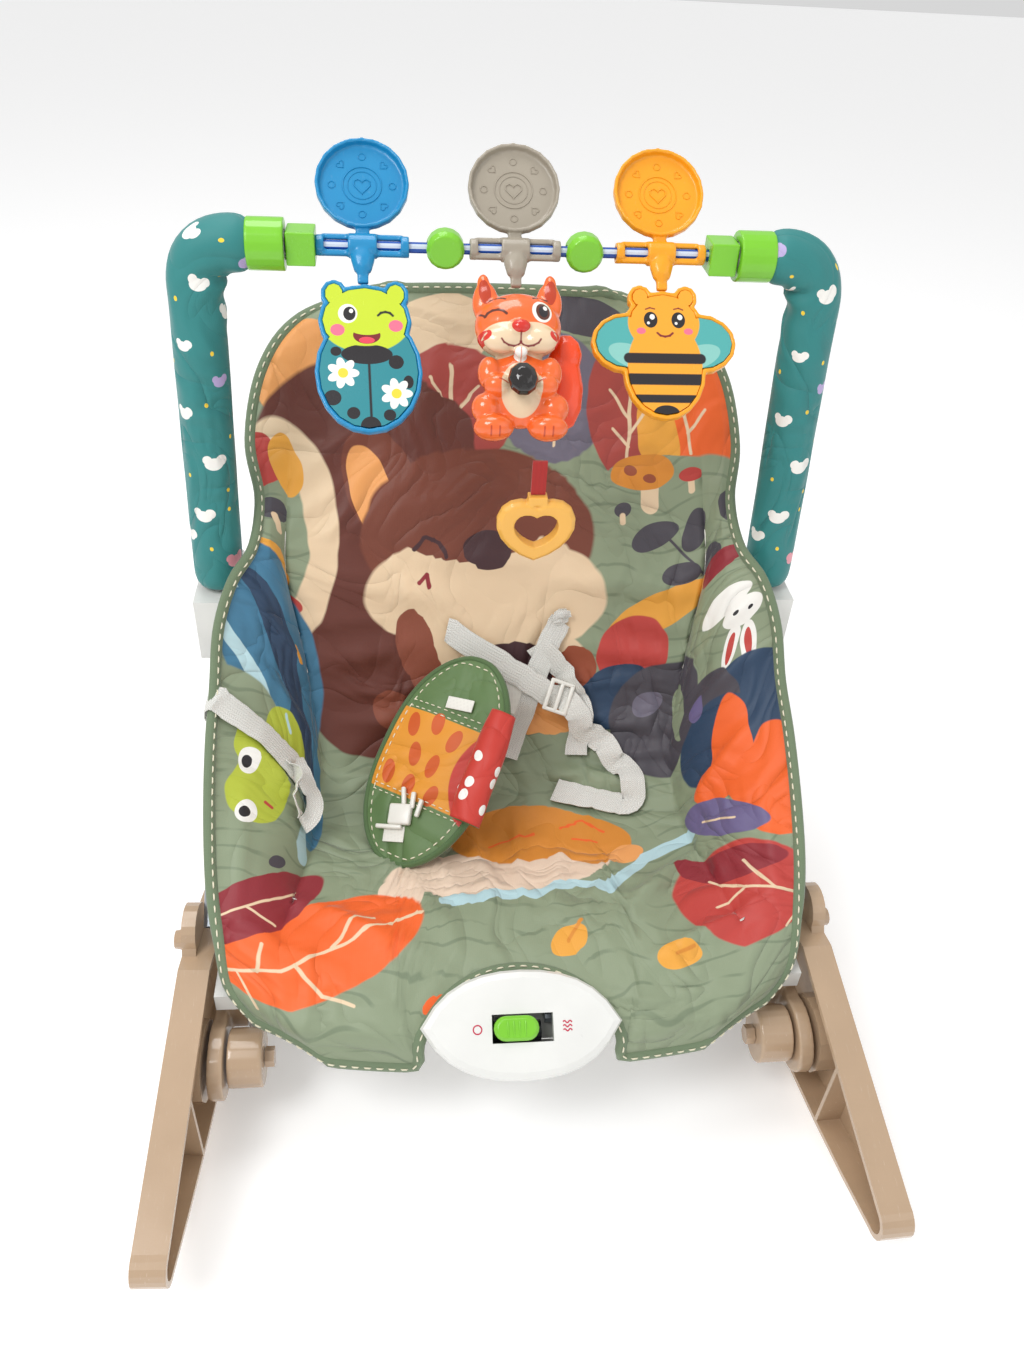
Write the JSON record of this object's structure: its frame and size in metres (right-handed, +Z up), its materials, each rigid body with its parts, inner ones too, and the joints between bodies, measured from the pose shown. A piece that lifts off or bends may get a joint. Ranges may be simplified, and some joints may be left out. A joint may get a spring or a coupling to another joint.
{
  "type": "baby bouncer seat",
  "caption": "Baby bouncer seat on two rocker rails, with a printed padded cover, a reclining back, a padded toy bar with hanging toys and a vibration unit.",
  "frame": {"origin": "floor level at the middle of the two rocker rails", "axes": "+Z up, the feet end faces -Y, +X is the seat's left-hand side seen from the child"},
  "size_m": [0.4476, 0.5644, 0.5373],
  "materials": {
    "amber_plastic": "satin",
    "bar_plastic": "matte",
    "bee_print": "satin",
    "blue_plastic": "satin",
    "cell_case": "satin",
    "cover_fabric": "matte",
    "ladybird_print": "satin",
    "lime_plastic": "satin",
    "motor_metal": "brushed",
    "nut_plastic": "gloss",
    "rail_plastic": "satin",
    "ribbon_fabric": "matte",
    "rod_plastic": "satin",
    "sleeve_fabric": "matte",
    "squirrel_plastic": "satin",
    "steel_tube": "satin",
    "tail_plastic": "satin",
    "taupe_plastic": "satin",
    "teether_rubber": "satin",
    "white_plastic": "satin"
  },
  "bodies": {
    "base": {"rail_left": "rail_plastic", "rail_right": "rail_plastic", "ear_bolt_left": "rail_plastic", "ear_bolt_right": "rail_plastic", "side_tube_left": "steel_tube", "side_tube_right": "steel_tube", "side_bracket_left": "white_plastic", "side_bracket_right": "white_plastic", "rear_post_left": "steel_tube", "rear_post_right": "steel_tube", "front_shell": "white_plastic", "base_tube": "steel_tube", "pivot_flange_left": "rail_plastic", "pivot_flange_right": "rail_plastic", "hub_bolt_left": "rail_plastic", "hub_bolt_right": "rail_plastic", "seat_pad": "cover_fabric", "side_pad_left": "cover_fabric", "side_pad_right": "cover_fabric", "unit_cover": "white_plastic", "unit_base": "white_plastic", "battery_cell": "cell_case", "vibration_motor": "motor_metal", "crotch_pad": "cover_fabric", "crotch_buckle": "white_plastic"},
    "stand": {"stand_tube": "steel_tube", "stand_hub_left": "rail_plastic", "stand_hub_right": "rail_plastic", "stand_cap_left": "white_plastic", "stand_cap_right": "white_plastic"},
    "back": {"back_tube": "steel_tube", "recline_disc_left": "white_plastic", "recline_disc_right": "white_plastic", "back_pad": "cover_fabric"},
    "toy_bar": {"bar_leg_left": "bar_plastic", "bar_leg_right": "bar_plastic", "sleeve_left": "sleeve_fabric", "sleeve_right": "sleeve_fabric", "collar_left": "lime_plastic", "collar_right": "lime_plastic", "rod_clamp_left": "lime_plastic", "rod_clamp_right": "lime_plastic", "spacer_left": "lime_plastic", "spacer_right": "lime_plastic", "toy_rod": "rod_plastic"},
    "ladybird": {"ladybird_hanger": "blue_plastic", "ladybird_rim": "blue_plastic", "ladybird_face": "ladybird_print"},
    "squirrel": {"squirrel_hanger": "taupe_plastic", "squirrel_body": "squirrel_plastic", "squirrel_tail": "tail_plastic", "squirrel_nut": "nut_plastic"},
    "bee": {"bee_hanger": "amber_plastic", "bee_rim": "amber_plastic", "bee_face": "bee_print"},
    "teether_body": {"ribbon": "ribbon_fabric", "teether": "teether_rubber"},
    "switch": {"switch_knob": "lime_plastic"},
    "weight": {"eccentric_weight": "motor_metal"},
    "door": {"battery_door": "white_plastic"}
  },
  "joints": [
    {"name": "stand_fold", "type": "hinge", "parent": "base", "child": "stand", "pos_m": [0, -0.145, 0.054], "axis": [-1, 0, 0], "range_deg": [0, 17]},
    {"name": "back_recline", "type": "hinge", "parent": "base", "child": "back", "pos_m": [0, 0.141, 0.244], "axis": [-1, 0, 0], "range_deg": [0, 18]},
    {"name": "toy_bar_lift", "type": "slide", "parent": "base", "child": "toy_bar", "axis": [0, 0, 1], "range_m": [0, 0.035]},
    {"name": "ladybird_spin", "type": "hinge", "parent": "toy_bar", "child": "ladybird", "pos_m": [0, 0.116, 0.487], "axis": [1, 0, 0], "range_deg": [-40, 40]},
    {"name": "squirrel_spin", "type": "hinge", "parent": "toy_bar", "child": "squirrel", "pos_m": [0, 0.116, 0.487], "axis": [1, 0, 0], "range_deg": [-40, 30]},
    {"name": "bee_spin", "type": "hinge", "parent": "toy_bar", "child": "bee", "pos_m": [0, 0.116, 0.487], "axis": [1, 0, 0], "range_deg": [-40, 40]},
    {"name": "teether_swing", "type": "hinge", "parent": "squirrel", "child": "teether_body", "pos_m": [0.013, 0.03142, 0.39156], "axis": [1, 0, 0], "range_deg": [-25, 35]},
    {"name": "switch_slide", "type": "slide", "parent": "base", "child": "switch", "axis": [1, 0, 0], "range_m": [0, 0.008]},
    {"name": "motor_spin", "type": "hinge", "parent": "base", "child": "weight", "pos_m": [0.0313, -0.15141, 0.09661], "axis": [1, 0, 0], "continuous": true},
    {"name": "battery_door_open", "type": "slide", "parent": "base", "child": "door", "axis": [0, 0.5592, -0.829], "range_m": [0, 0.02]}
  ]
}
